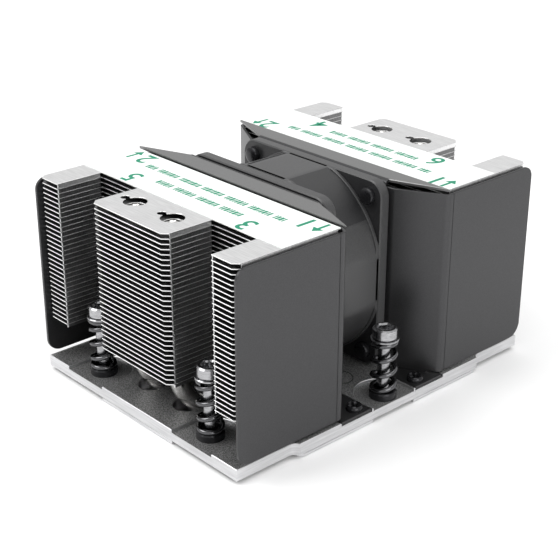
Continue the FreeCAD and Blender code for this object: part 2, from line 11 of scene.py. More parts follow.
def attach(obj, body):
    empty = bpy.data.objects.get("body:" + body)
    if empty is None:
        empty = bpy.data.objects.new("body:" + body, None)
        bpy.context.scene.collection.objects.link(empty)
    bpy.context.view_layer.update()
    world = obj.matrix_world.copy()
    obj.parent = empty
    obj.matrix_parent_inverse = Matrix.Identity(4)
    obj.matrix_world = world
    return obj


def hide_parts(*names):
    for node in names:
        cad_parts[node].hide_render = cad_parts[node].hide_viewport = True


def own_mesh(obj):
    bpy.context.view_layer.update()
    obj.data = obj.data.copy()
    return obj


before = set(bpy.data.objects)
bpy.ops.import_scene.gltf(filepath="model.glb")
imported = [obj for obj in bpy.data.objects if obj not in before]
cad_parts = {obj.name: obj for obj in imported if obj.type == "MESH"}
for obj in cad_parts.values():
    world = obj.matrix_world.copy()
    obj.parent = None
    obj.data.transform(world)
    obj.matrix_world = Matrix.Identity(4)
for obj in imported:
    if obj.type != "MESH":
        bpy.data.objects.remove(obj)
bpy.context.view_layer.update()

MM = 0.001
ROOT = "cooler"

# Sizes of the cooler
FAN_Z = 34.55
FAN_HALF = 12.5
FAN_FLANGE = 3.5
FAN_BORE = 28.5
FAN_HOLE = 25.0
DRUM = 31.0
DRUM_RIB = 31.6
RIB_DEPTH = 1.2
MOUNT = 13.5
FIN_TOP = 63.2
FIN_PITCH = 1.49
FIN_THICK = 0.3
FIN_COUNT = 31
FIN_NEAR = 21.5
FIN_X = 43.9
LOBE_X = 16.6
NOTCH_X = 34.6
NOTCH_Y = 42.6
LOBE_Y = 59.0
SIDE_LOBE_Y = 58.1
CHAMFER = 1.6
PIPE_X = 8.35
PIPE_Y = 49.75
PLATE_TOP = 4.7
SEAT = 3.8
END_UNDER = 1.0
SHEET = 0.9
SHROUD_TOP = 64.0
SHROUD_HALF = 28.0
LABEL_TOP = FIN_TOP + 0.15
INK_TOP = FIN_TOP + 0.165
TAB_SCREW = (42.6, 13.0)
FERRULE_BORE = 2.7
HEAD = 3.6
HEAD_TOP = 26.3
SCREWS = {
    1: (41.6, 0.0),
    2: (-41.6, 0.0),
    3: (25.3, -52.0),
    4: (-25.3, 52.0),
    5: (-25.3, -52.0),
    6: (25.3, 52.0),
}


# Materials
def shader(name, color, metallic=0.0, rough=0.5, coat=0.0, specular=0.5):
    mat = bpy.data.materials.new(name)
    mat.use_nodes = True
    bsdf = mat.node_tree.nodes["Principled BSDF"]
    bsdf.inputs["Base Color"].default_value = (*color, 1.0)
    bsdf.inputs["Metallic"].default_value = metallic
    bsdf.inputs["Roughness"].default_value = rough
    bsdf.inputs["Coat Weight"].default_value = coat
    bsdf.inputs["Specular IOR Level"].default_value = specular
    return mat, mat.node_tree, bsdf


def noise(tree, scale, detail=4.0, stretch=(1.0, 1.0, 1.0)):
    coord = tree.nodes.new("ShaderNodeTexCoord")
    mapping = tree.nodes.new("ShaderNodeMapping")
    mapping.inputs["Scale"].default_value = stretch
    texture = tree.nodes.new("ShaderNodeTexNoise")
    texture.inputs["Scale"].default_value = scale
    texture.inputs["Detail"].default_value = detail
    tree.links.new(coord.outputs["Object"], mapping.inputs["Vector"])
    tree.links.new(mapping.outputs["Vector"], texture.inputs["Vector"])
    return texture.outputs["Fac"]


def ramp(tree, source, low, high, color_low, color_high):
    node = tree.nodes.new("ShaderNodeValToRGB")
    node.color_ramp.elements[0].position = low
    node.color_ramp.elements[1].position = high
    node.color_ramp.elements[0].color = (*color_low, 1.0)
    node.color_ramp.elements[1].color = (*color_high, 1.0)
    tree.links.new(source, node.inputs["Fac"])
    return node.outputs["Color"]


def rough_range(tree, bsdf, source, low, high):
    node = tree.nodes.new("ShaderNodeMapRange")
    node.inputs["To Min"].default_value = low
    node.inputs["To Max"].default_value = high
    tree.links.new(source, node.inputs["Value"])
    tree.links.new(node.outputs["Result"], bsdf.inputs["Roughness"])


def bump(tree, bsdf, source, strength, distance):
    node = tree.nodes.new("ShaderNodeBump")
    node.inputs["Strength"].default_value = strength
    node.inputs["Distance"].default_value = distance
    tree.links.new(source, node.inputs["Height"])
    tree.links.new(node.outputs["Normal"], bsdf.inputs["Normal"])


def speckled(name, dark, light, scale, metallic, rough, strength, specular=0.5):
    """Grainy surface, such as blasted metal or fine moulded plastic."""
    mat, tree, bsdf = shader(name, light, metallic, rough, specular=specular)
    grain = noise(tree, scale)
    color = ramp(tree, grain, 0.38, 0.62, dark, light)
    tree.links.new(color, bsdf.inputs["Base Color"])
    bump(tree, bsdf, grain, strength, 0.00005)
    return mat


def brushed(name, dark, light, stretch, rough_low, rough_high, metallic=1.0):
    """Metal with a grain along the axis whose stretch is small."""
    mat, tree, bsdf = shader(name, light, metallic, rough_low)
    grain = noise(tree, 900.0, 3.0, stretch)
    color = ramp(tree, grain, 0.3, 0.7, dark, light)
    tree.links.new(color, bsdf.inputs["Base Color"])
    rough_range(tree, bsdf, grain, rough_low, rough_high)
    return mat


blasted = speckled("blasted", (0.13, 0.13, 0.13), (0.42, 0.42, 0.42), 2600.0, 0.75, 0.5, 0.6)
machined = brushed("machined", (0.60, 0.60, 0.61), (0.76, 0.76, 0.77), (0.1, 0.1, 2.0), 0.26, 0.38)
fin_edge = brushed("fin_edge", (0.74, 0.74, 0.74), (0.88, 0.88, 0.88), (0.2, 3.0, 1.0), 0.3, 0.42)
# Dark copy of the fin aluminium: painted shade in the gaps between fins
fin_painted_shade = brushed("fin_painted_shade", (0.14, 0.14, 0.14), (0.22, 0.22, 0.22), (0.2, 3.0, 1.0), 0.34, 0.46)
shroud_paint = speckled(
    "shroud_paint", (0.058, 0.058, 0.060), (0.072, 0.072, 0.074), 5200.0, 0.85, 0.36, 0.15
)
# Lighter copy of the shroud paint for the top panels: painted reflection
shroud_top_painted_reflection = speckled(
    "shroud_top_painted_reflection", (0.20, 0.20, 0.20), (0.24, 0.24, 0.24), 5200.0, 0.85, 0.36, 0.15
)
fan_plastic = speckled(
    "fan_plastic", (0.012, 0.012, 0.013), (0.020, 0.020, 0.021), 3800.0, 0.0, 0.42, 0.25
)
# Lighter copy of the black fan plastic for the frame: painted highlight
frame_plastic_painted_light = speckled(
    "frame_plastic_painted_light", (0.034, 0.034, 0.035), (0.050, 0.050, 0.051), 3800.0, 0.0, 0.36, 0.25
)
label_film = shader("label_film", (0.80, 0.83, 0.81), 0.0, 0.5)[0]
label_ink = shader("label_ink", (0.0, 0.22, 0.12), 0.0, 0.6)[0]
steel = brushed("steel", (0.30, 0.30, 0.31), (0.48, 0.48, 0.49), (1.0, 1.0, 3.0), 0.14, 0.26)
black_steel = shader("black_steel", (0.022, 0.022, 0.024), 0.6, 0.2)[0]
spring_steel = shader("spring_steel", (0.12, 0.12, 0.125), 1.0, 0.16)[0]
nickel = brushed("nickel", (0.66, 0.65, 0.63), (0.84, 0.83, 0.81), (2.0, 2.0, 0.3), 0.1, 0.2)
copper = shader("copper", (0.62, 0.26, 0.10), 1.0, 0.3)[0]
board_green = shader("board_green", (0.02, 0.12, 0.05), 0.0, 0.45)[0]
magnet_black = shader("magnet_black", (0.03, 0.028, 0.028), 0.2, 0.6)[0]
socket_dark = shader("socket_dark", (0.02, 0.02, 0.02), 0.5, 0.5)[0]


# Building blocks
class Form:
    """Vertices in millimetres and faces, with a material for each face."""

    def __init__(self):
        self.verts = []
        self.faces = []
        self.paint = []

    def add(self, verts, faces, paint=0):
        base = len(self.verts)
        self.verts += [tuple(v) for v in verts]
        self.faces += [[base + k for k in face] for face in faces]
        self.paint += [paint] * len(faces)
        return self

    def join(self, other, move=None, paint=None):
        verts = [move(v) for v in other.verts] if move else other.verts
        base = len(self.verts)
        self.verts += [tuple(v) for v in verts]
        self.faces += [[base + k for k in face] for face in other.faces]
        self.paint += [p if paint is None else paint for p in other.paint]
        return self

    def build(self, name, mats, smooth=40.0):
        mesh = bpy.data.meshes.new(name)
        mesh.from_pydata([Vector(v) * MM for v in self.verts], [], self.faces)
        for mat in mats:
            mesh.materials.append(mat)
        mesh.polygons.foreach_set("material_index", self.paint)
        obj = bpy.data.objects.new(name, mesh)
        bpy.context.scene.collection.objects.link(obj)
        smoothed(mesh, smooth)
        return obj


def smoothed(mesh, angle):
    bm = bmesh.new()
    bm.from_mesh(mesh)
    bmesh.ops.remove_doubles(bm, verts=bm.verts, dist=1e-7)
    bmesh.ops.recalc_face_normals(bm, faces=bm.faces)
    limit = math.radians(angle)
    for face in bm.faces:
        face.smooth = angle > 0
    for edge in bm.edges:
        edge.smooth = len(edge.link_faces) == 2 and edge.calc_face_angle(0.0) < limit
    bm.to_mesh(mesh)
    bm.free()


def circle(radius, count, x=0.0, y=0.0, turn=0.0):
    steps = [2 * math.pi * (k + turn) / count for k in range(count)]
    return [(x + radius * math.cos(a), y + radius * math.sin(a)) for a in steps]


def area(loop):
    return sum(a[0] * b[1] - b[0] * a[1] for a, b in zip(loop, loop[1:] + loop[:1])) / 2


def inset(loop, amount):
    """The loop moved to its left by the amount, with mitred corners."""
    out = []
    for before, here, after in zip(loop[-1:] + loop[:-1], loop, loop[1:] + loop[:1]):
        a = Vector((here[0] - before[0], here[1] - before[1])).normalized()
        b = Vector((after[0] - here[0], after[1] - here[1])).normalized()
        normal = Vector((-a.y - b.y, a.x + b.x))
        scale = amount / max(0.3, 0.5 * normal.length) / max(normal.length, 1e-6)
        out.append((here[0] + normal.x * scale, here[1] + normal.y * scale))
    return out


def plate(outer, holes, low, high, bevel=0.0, bevel_low=None, top=0, side=0):
    """Flat piece with holes, and small chamfers along its upper and lower edges."""
    bevel_low = bevel if bevel_low is None else bevel_low
    loops = [outer if area(outer) > 0 else outer[::-1]]
    loops += [hole if area(hole) < 0 else hole[::-1] for hole in holes]
    form = Form()
    levels = []
    if bevel_low:
        levels += [(low, bevel_low), (low + bevel_low, 0.0)]
    else:
        levels += [(low, 0.0)]
    if bevel:
        levels += [(high - bevel, 0.0), (high, bevel)]
    else:
        levels += [(high, 0.0)]
    for loop in loops:
        count = len(loop)
        verts = []
        for z, amount in levels:
            line = inset(loop, amount) if amount else loop
            verts += [(x, y, z) for x, y in line]
        faces = []
        for level in range(len(levels) - 1):
            for k in range(count):
                n = (k + 1) % count
                a = level * count
                faces.append([a + k, a + n, a + count + n, a + count + k])
        form.add(verts, faces, side)
    for z, amount in (levels[0], levels[-1]):
        lines = [inset(loop, amount) if amount else loop for loop in loops]
        flat = [[Vector((x, y, 0.0)) for x, y in line] for line in lines]
        verts = [(p.x, p.y, z) for line in flat for p in line]
        form.add(verts, [list(t) for t in tessellate_polygon(flat)], top)
    return form


def turned(profile, count=48, paint=0, x=0.0, y=0.0):
    """Turned form about +Z from (radius, height) points; a closed profile repeats its start."""
    form = Form()
    verts = []
    for radius, z in profile:
        verts += [(px, py, z) for px, py in circle(max(radius, 0.0), count, x, y)]
    faces = []
    for level in range(len(profile) - 1):
        for k in range(count):
            n = (k + 1) % count
            a = level * count
            faces.append([a + k, a + n, a + count + n, a + count + k])
    form.add(verts, faces, paint)
    for z, radius, start in (
        (profile[0][1], profile[0][0], 0),
        (profile[-1][1], profile[-1][0], (len(profile) - 1) * count),
    ):
        if radius > 1e-6 and profile[0] != profile[-1]:
            form.add(verts[start : start + count], [list(range(count))], paint)
    return form


def tube(points, radius, count=16, paint=0, flat_below=None):
    """Round bar along a path, with flat ends."""
    path = [Vector(p) for p in points]
    form = Form()
    side = None
    verts = []
    for k, here in enumerate(path):
        ahead = (path[min(k + 1, len(path) - 1)] - path[max(k - 1, 0)]).normalized()
        if side is None:
            side = ahead.orthogonal().normalized()
        side = (side - ahead * side.dot(ahead)).normalized()
        up = ahead.cross(side)
        for c, s in circle(radius, count):
            v = here + side * c + up * s
            if flat_below is not None:
                v.z = max(v.z, flat_below)
            verts.append(v)
    faces = []
    for level in range(len(path) - 1):
        for k in range(count):
            n = (k + 1) % count
            a = level * count
            faces.append([a + k, a + n, a + count + n, a + count + k])
    faces += [list(range(count)), list(range(len(verts) - count, len(verts)))]
    return form.add(verts, faces, paint)


def block(x0, x1, y0, y1, z0, z1, bevel=0.0, paint=0):
    outline = [(x0, y0), (x1, y0), (x1, y1), (x0, y1)]
    return plate(outline, [], z0, z1, bevel, top=paint, side=paint)


def arc(x, y, radius, start, stop, steps):
    out = []
    for k in range(steps + 1):
        angle = math.radians(start + (stop - start) * k / steps)
        out.append((x + radius * math.cos(angle), y + radius * math.sin(angle)))
    return out


def round_box(width, height, radius, steps=8):
    w = width / 2 - radius
    h = height / 2 - radius
    loop = arc(w, h, radius, 0, 90, steps) + arc(-w, h, radius, 90, 180, steps)
    return loop + arc(-w, -h, radius, 180, 270, steps) + arc(w, -h, radius, 270, 360, steps)


def rounded(points, radii, steps=6):
    """Points of a line with its inner corners rounded."""
    line = [points[0]]
    for before, corner, after, radius in zip(points, points[1:], points[2:], radii):
        start = math.atan2(before[1] - corner[1], before[0] - corner[0])
        sweep = math.atan2(after[1] - corner[1], after[0] - corner[0]) - start
        sweep = (sweep + math.pi) % (2 * math.pi) - math.pi
        reach = radius / math.sin(abs(sweep) / 2)
        middle = start + sweep / 2
        cx = corner[0] + reach * math.cos(middle)
        cy = corner[1] + reach * math.sin(middle)
        spread = math.copysign(math.pi - abs(sweep), sweep)
        for k in range(steps + 1):
            angle = middle + math.pi + spread * (0.5 - k / steps)
            line.append((cx + radius * math.cos(angle), cy + radius * math.sin(angle)))
    return line + [points[-1]]


def in_yz(x0):
    """A form drawn in XY with depth along Z is stood up in the YZ plane from x0."""
    return lambda v: (x0 + v[2], v[0], v[1])


def in_xz(y0):
    return lambda v: (v[0], y0 + v[2], v[1])


def on_fan(v):
    """A form drawn about +Z is laid along +Y on the fan's axis."""
    return (v[0], v[2], FAN_Z - v[1])


def flip_x(v):
    return (-v[0], v[1], v[2])


def flip_y(v):
    return (v[0], -v[1], v[2])


def flip_both(v):
    return (-v[0], -v[1], v[2])


def same(v):
    return v


QUARTERS = (same, flip_x, flip_y, flip_both)


def placed(form, name, mats, body, nodes, smooth=40.0):
    obj = form.build(name, mats, smooth)
    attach(obj, body)
    if nodes:
        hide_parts(*nodes)
    return obj


# Base plate
def base_loop(low_pocket):
    """Plan of one layer of the base; low_pocket opens the upper layer's screw and tab pockets."""
    end_x, mid_x, step_y, r = 44.4, 46.2, 37.7, 3.0
    turn = math.degrees(math.acos(1 - (mid_x - end_x) / r))
    centre_y = step_y + r * math.sin(math.radians(turn))
    step = arc(end_x + r, centre_y, r, 180 + turn, 180, 8)
    quarter = []
    if low_pocket:
        quarter += arc(41.6, 0.0, 8.6, 180, 90, 16)[1:]
        quarter += [(mid_x, 8.6), (mid_x, 9.2), (32.0, 9.2), (32.0, 14.5), (44.4, 21.6)]
        quarter += [(mid_x, 21.6)]
    else:
        quarter += [(mid_x, 0.0)]
    quarter += step
    quarter += [(end_x, 59.0)]
    if low_pocket:
        quarter += [(25.3 + 8.6, 59.0)]
        quarter += arc(25.3, 52.0, 8.6, 0, -180, 24)
        quarter += [(25.3 - 8.6, 59.0)]
    mirrored = [(-x, y) for x, y in reversed(quarter)]
    upper = quarter + mirrored
    if low_pocket:
        upper = [(33.0, 0.0)] + quarter + mirrored + [(-33.0, 0.0)]
    lower = [(x, -y) for x, y in reversed(upper)]
    loop = upper + lower
    out = [loop[0]]
    for p in loop[1:]:
        if math.hypot(p[0] - out[-1][0], p[1] - out[-1][1]) > 1e-4:
            out.append(p)
    if math.hypot(out[0][0] - out[-1][0], out[0][1] - out[-1][1]) < 1e-4:
        out.pop()
    return out


def channel(x):
    """Slot for one heat pipe, wider at both ends."""
    end_y, bend_y = 47.05, 33.75
    far = [(x + 3.1, bend_y), (x + 3.9, bend_y)] + arc(x, end_y, 3.9, 0, 180, 20)
    far += [(x - 3.9, bend_y), (x - 3.1, bend_y)]
    near = [(2 * x - px, -py) for px, py in far]
    return far + near


def make_base():
    channels = [channel(PIPE_X), channel(-PIPE_X)]
    form = plate(base_loop(True), channels, SEAT, PLATE_TOP, 0.16, 0.0, 0, 1)
    bores = [circle(FERRULE_BORE, 40, x, y) for x, y in SCREWS.values()]
    form.join(plate(base_loop(False), channels + bores, END_UNDER, SEAT, 0.0, 0.16, 0, 1))
    half_pad = arc(44.2, 35.7, 2.0, 0, 90, 8) + [(16.7, 37.7), (16.7, 59.0)]
    side = arc(41.6, 0.0, 8.6, 180, 90, 16) + [(46.2, 8.6)] + half_pad
    upper = side + [(-x, y) for x, y in reversed(side)]
    lower = [(x, -y) for x, y in reversed(upper)]
    loop = upper + lower
    clean = [loop[0]]
    for p in loop[1:]:
        if math.hypot(p[0] - clean[-1][0], p[1] - clean[-1][1]) > 1e-4:
            clean.append(p)
    form.join(plate(clean, [], 0.0, END_UNDER, 0.0, 0.16, 1, 1))
    outer, inner = circle(4.4, 48, 26.4, -3.0), circle(4.1, 48, 26.4, -3.0)
    form.join(plate(outer, [inner], 4.69, 4.715, 0, 0, 2, 2))
    return placed(
        form, "base", [blasted, machined, socket_dark], ROOT, ["base_plate"], 30.0
    )


# Fins
def fin_loop():
    c = CHAMFER
    half = [
        (LOBE_X - c, LOBE_Y),
        (LOBE_X, LOBE_Y - c),
        (LOBE_X, NOTCH_Y),
        (NOTCH_X, NOTCH_Y),
        (NOTCH_X, SIDE_LOBE_Y),
        (FIN_X - c, SIDE_LOBE_Y),
        (FIN_X, SIDE_LOBE_Y - c),
        (FIN_X, FIN_NEAR),
    ]
    return half + [(-x, y) for x, y in reversed(half)]


def key_hole(x, y):
    """Round pipe hole with a small round solder notch beside it."""
    main, notch, reach = 3.45, 1.3, 4.7
    turn = math.degrees(math.asin(0.75 / main))
    small = math.degrees(math.asin(0.75 / notch))
    loop = arc(x, y, main, -180 + turn, 180 - turn, 40)
    return loop + arc(x - reach, y, notch, small, 360 - small, 20)


def lips(z, last, shade):
    """Folded edges that space a fin from the next one below."""
    form = Form()
    drop = FIN_PITCH - FIN_THICK - 0.04 if not last else 0.9
    runs = [
        (LOBE_X - FIN_THICK, LOBE_X, NOTCH_Y + 0.5, LOBE_Y - CHAMFER - 0.3),
        (NOTCH_X, NOTCH_X + FIN_THICK, NOTCH_Y + 0.5, SIDE_LOBE_Y - 0.3),
        (FIN_X - FIN_THICK, FIN_X, FIN_NEAR + 1.0, SIDE_LOBE_Y - CHAMFER - 0.5),
    ]
    low, high = z - FIN_THICK - drop, z - FIN_THICK / 2
    for x0, x1, y0, y1 in runs:
        # Lips of the lower fins take the painted shade; a 0.3 mm strip at each end keeps the bright
        # fin colour
        for move in (same, flip_x):
            form.join(block(x0, x1, y0, y1 - 0.3, low, high, paint=shade), move)
            form.join(block(x0, x1, y1 - 0.3, y1, low, high), move)
    return form


def make_fins():
    # Every fin below the top one takes the painted shade on its flat faces
    plain = plate(
        fin_loop(),
        [circle(3.1, 24, s * PIPE_X, PIPE_Y) for s in (-1, 1)],
        -FIN_THICK,
        0.0,
        0.05,
        top=1,
    )
    top = plate(
        fin_loop(), [key_hole(s * PIPE_X, PIPE_Y) for s in (-1, 1)], -FIN_THICK, 0.0, 0.07
    )
    for name, move in (("front", flip_y), ("rear", same)):
        form = Form()
        for k in range(FIN_COUNT):
            z = FIN_TOP - k * FIN_PITCH
            sheet = plain if k else top
            form.join(sheet, lambda v: move((v[0], v[1], v[2] + z)))
            form.join(lips(z, k == FIN_COUNT - 1, min(k, 1)), move)
        nodes = [f"{name}_lower_fins", f"{name}_upper_fins"]
        placed(form, f"{name}_fins", [fin_edge, fin_painted_shade], ROOT, nodes, 20.0)


def make_pipes():
    bend, low_z = 16.0, 1.4
    for name, x in (("left", -PIPE_X), ("right", PIPE_X)):
        half = [(PIPE_Y, 61.2), (PIPE_Y, low_z + bend)]
        for k in range(1, 19):
            a = math.radians(90 * k / 18)
            y = PIPE_Y - bend + bend * math.cos(a)
            half.append((y, low_z + bend - bend * math.sin(a)))
        path = [(x, y, z) for y, z in half] + [(x, -y, z) for y, z in reversed(half)]
        form = tube(path, 3.0, 24, flat_below=END_UNDER)
        for s in (-1, 1):
            tip = [(3.0, 61.2), (2.75, 61.6), (2.2, 61.9), (1.2, 62.0), (0.9, 61.7), (0.0, 61.6)]
            form.join(turned(tip, 24, 0, x, s * PIPE_Y))
        placed(form, f"pipe_{name}", [nickel], ROOT, [f"heat_pipe_{name}"], 50.0)


# Labels
def glyph(text, size, x, y, turn):
    """A number as flat outlines lying on the label."""
    curve = bpy.data.curves.new("number", "FONT")
    curve.body = text
    curve.size = size * MM
    curve.extrude = 0.00001
    curve.offset = 0.00014
    curve.align_x = "CENTER"
    curve.align_y = "CENTER"
    source = bpy.data.objects.new("number", curve)
    bpy.context.scene.collection.objects.link(source)
    graph = bpy.context.evaluated_depsgraph_get()
    mesh = bpy.data.meshes.new_from_object(source.evaluated_get(graph))
    bpy.data.objects.remove(source)
    spin = Matrix.Rotation(math.radians(turn), 4, "Z")
    mesh.transform(Matrix.Translation((x * MM, y * MM, (FIN_TOP + 0.155) * MM)) @ spin)
    form = Form()
    form.add([v.co / MM for v in mesh.vertices], [list(p.vertices) for p in mesh.polygons], 1)
    bpy.data.meshes.remove(mesh)
    return form


def arrow(x, y, turn):
    spin = math.radians(turn)
    outline = [
        (-0.5, -3.4),
        (0.5, -3.4),
        (0.5, 0.8),
        (1.9, 0.8),
        (0.0, 3.4),
        (-1.9, 0.8),
        (-0.5, 0.8),
    ]
    loop = []
    for px, py in outline:
        rx = px * math.cos(spin) - py * math.sin(spin)
        ry = px * math.sin(spin) + py * math.cos(spin)
        loop.append((x + rx, y + ry))
    return plate(loop, [], LABEL_TOP, INK_TOP, 0, 0, 1, 1)


def ticks(x0, x1, y, height, seed):
    """A row of short plain bars where the real label has small print."""
    form = Form()
    x = x0
    k = seed
    while x < x1:
        width = 0.55 + 0.45 * ((k * 7) % 3) / 2
        if k % 9 != 8:
            piece = block(x, x + width, y, y + height, LABEL_TOP, INK_TOP)
            form.join(piece, paint=1)
        x += width + 0.35
        k += 1
    return form


def make_labels():
    marks = {
        "front": [
            ("5", -25.0, -38.2),
            ("3", 25.8, -38.4),
            ("2", -35.0, -25.6),
            ("1", 35.6, -25.8),
        ],
        "rear": [("4", -25.0, 38.2), ("6", 25.0, 38.2), ("2", -36.5, 25.6), ("1", 36.5, 25.6)],
    }
    for name, side in (("front", -1), ("rear", 1)):
        y0, y1 = sorted((side * FIN_NEAR, side * NOTCH_Y))
        form = block(-FIN_X, FIN_X, y0, y1, FIN_TOP + 0.005, LABEL_TOP, 0.03)
        for text, x, y in marks[name]:
            form.join(glyph(text, 9.6, x, y, 180))
        form.join(arrow(40.6, side * 25.6, 0 if side > 0 else 180))
        form.join(arrow(-40.8, side * 25.6, 180 if side > 0 else 0))
        form.join(ticks(-17.0, 20.0, side * 35.2 - 1.2, 2.4, 2))
        form.join(ticks(-30.0, 30.0, side * 29.0 - 1.2, 2.4, 4))
        placed(
            form, f"{name}_sticker", [label_film, label_ink], ROOT, [f"{name}_label"], 0.0
        )


# Shrouds
def make_shroud_half():
    """Rear shroud: side walls, slanted panels, fan plate, top panel and tabs."""
    wall_x, wall_y0, wall_y1, z0, z1 = 45.3, 20.6, 59.1, 5.4, 62.3
    plate_y, corner_x = 12.6, 31.0
    bevel = 0.12
    form = Form()
    start = wall_y0 + 2.0
    wall = rounded([(start, z0), (wall_y1, z0), (wall_y1, z1), (start, z1)], [4.5, 3.5], 10)
    wall_form = plate(wall, [], 0.0, SHEET, bevel)
    run = Vector((wall_x - corner_x, wall_y0 - plate_y)).normalized()
    inner_wall = wall_x - SHEET
    hold = (wall_x - run.y * SHEET, wall_y0 + run.x * SHEET)

    def cross_x(x):
        return (x, hold[1] + (x - hold[0]) * run.y / run.x)

    def cross_y(y):
        return (hold[0] + (y - hold[1]) * run.x / run.y, y)

    outer = [(wall_x, start + 0.3), (wall_x, wall_y0), (corner_x, plate_y), (28.6, plate_y)]
    inner = [
        (inner_wall, start + 0.3),
        cross_x(inner_wall),
        cross_y(plate_y + SHEET),
        (28.6, plate_y + SHEET),
    ]
    strip = rounded(outer, [2.0, 2.3]) + rounded(inner, [1.1, 1.4])[::-1]
    strip_form = plate(strip, [], z0, z1, bevel)
    for move in (same, flip_x):
        form.join(wall_form, lambda v: move(in_yz(inner_wall)(v)))
        form.join(strip_form, move)
        foot_a = Vector((corner_x, plate_y)) + run * 4.0
        foot_b = Vector((wall_x, wall_y0)) - run * 4.0
        left = Vector((-run.y, run.x)) * SHEET
        foot = [foot_a, foot_b, foot_b + left, foot_a + left]
        form.join(plate([(p.x, p.y) for p in foot], [], SEAT, z0 + 0.1), move)
        tab = [(32.0, 9.5), (45.9, 9.5), (45.9, 21.2), (44.4, 21.2), (32.0, 14.2)]
        form.join(plate(tab, [circle(1.2, 16, *TAB_SCREW)], SEAT, PLATE_TOP, bevel), move)
    holes = [circle(FAN_BORE, 96, 0.0, FAN_Z)]
    for sx in (-1, 1):
        holes += [circle(1.5, 16, sx * FAN_HOLE, FAN_Z + sz * FAN_HOLE) for sz in (-1, 1)]
    sheet = [(-28.8, z0), (28.8, z0), (28.8, z1), (SHROUD_HALF, z1), (SHROUD_HALF, z1 + 0.2)]
    sheet += [(-SHROUD_HALF, z1 + 0.2), (-SHROUD_HALF, z1), (-28.8, z1)]
    form.join(plate(sheet, holes, 0.0, SHEET, 0.0), in_xz(plate_y))
    under = SHROUD_TOP - SHEET
    near = [(plate_y, z1), (plate_y, SHROUD_TOP), (plate_y + 1.8, SHROUD_TOP)]
    far = [(plate_y + SHEET, z1), (plate_y + SHEET, under), (plate_y + 1.8, under)]
    bend = rounded(near, [1.5], 8) + rounded(far, [0.6], 8)[::-1]
    form.join(plate(bend, [], -SHROUD_HALF, SHROUD_HALF, 0.05), in_yz(0.0))
    top = [(-SHROUD_HALF, plate_y + 1.5), (SHROUD_HALF, plate_y + 1.5)]
    top += [(wall_x, 20.7), (-wall_x, 20.7)]
    # The top panel takes the lighter copy of the paint: painted reflection
    form.join(plate(top, [], under, SHROUD_TOP, bevel, top=1, side=1))
    return form


def make_shrouds():
    half = make_shroud_half()
    for name, move in (("front", flip_y), ("rear", same)):
        form = Form().join(half, move)
        mats = [shroud_paint, shroud_top_painted_reflection]
        placed(form, f"{name}_cover", mats, ROOT, [f"{name}_shroud"], 35.0)


# Fan
def make_fan_frame():
    flange_in = FAN_HALF - FAN_FLANGE
    outline = round_box(60.0, 59.5, 5.0)
    bore = circle(FAN_BORE, 120)
    holes = []
    for sx in (-1, 1):
        holes += [circle(1.7, 20, sx * FAN_HOLE, sy * FAN_HOLE) for sy in (-1, 1)]
    form = Form()
    # Flange rims, drum and hub take the lighter copy as painted highlight; flange front and back
    # faces keep the dark plastic
    for low in (-FAN_HALF, flange_in):
        form.join(plate(outline, [bore] + holes, low, low + FAN_FLANGE, 0.35, top=1), on_fan)
    rib = flange_in - RIB_DEPTH
    drums = ((DRUM, -flange_in, flange_in), (DRUM_RIB, -flange_in, -rib))
    for radius, low, high in drums + ((DRUM_RIB, rib, flange_in),):
        form.join(plate(drum_loop(radius), [bore], low, high, 0.2), on_fan)
    # Two patches on the drum in the darker plastic
    for start, stop in ((-73, -35), (-145, -107)):
        field = arc(0.0, 0.0, DRUM + 0.12, start, stop, 20)
        field += arc(0.0, 0.0, DRUM - 0.2, stop, start, 20)
        form.join(plate(field, [], -rib, rib, 0.0, top=1, side=1), on_fan)
    mount_low = FAN_HALF - 2.0
    mount = [(0, mount_low), (MOUNT, mount_low), (MOUNT, FAN_HALF - 0.4)]
    mount += [(MOUNT - 0.4, FAN_HALF), (0, FAN_HALF)]
    form.join(turned(mount, 64), on_fan)
    for k in range(4):
        spin = math.radians(90 * k + 45)
        strut = block(-1.5, 1.5, 12.5, 29.5, 9.5, 12.5, 0.3)

        def turn(v):
            x = v[0] * math.cos(spin) - v[1] * math.sin(spin)
            y = v[0] * math.sin(spin) + v[1] * math.cos(spin)
            return on_fan((x, y, v[2]))

        form.join(strut, turn)
    tube_low = -7.9
    sleeve = [(4.05, tube_low), (5.0, tube_low), (5.0, 10.6), (4.05, 10.6)]
    form.join(turned(sleeve + sleeve[:1], 40), on_fan)
    mats = [frame_plastic_painted_light, fan_plastic]
    return placed(form, "fan_body", mats, ROOT, ["fan_frame"], 35.0)


def drum_loop(radius):
    """Circle cut flat where the fan frame's sides and top are."""
    loop = []
    for x, y in circle(radius, 144):
        loop.append((max(-30.0, min(30.0, x)), max(-29.75, min(29.75, y))))
    return loop


def make_fan_screws():
    form = Form()
    head = [(0, 7.0), (1.8, 7.0), (2.45, 7.35), (2.6, 7.8), (2.6, 9.0), (1.45, 9.0), (1.45, 13.5)]
    head += [(0, 13.5)]
    for sx in (-1, 1):
        for sy in (-1, 1):
            one = turned(head, 24, 0, sx * FAN_HOLE, sy * FAN_HOLE)
            form.join(one, on_fan)
            form.join(one, lambda v: flip_y(on_fan(v)))
    placed(form, "fan_fasteners", [black_steel], ROOT, ["fan_screws"], 40.0)


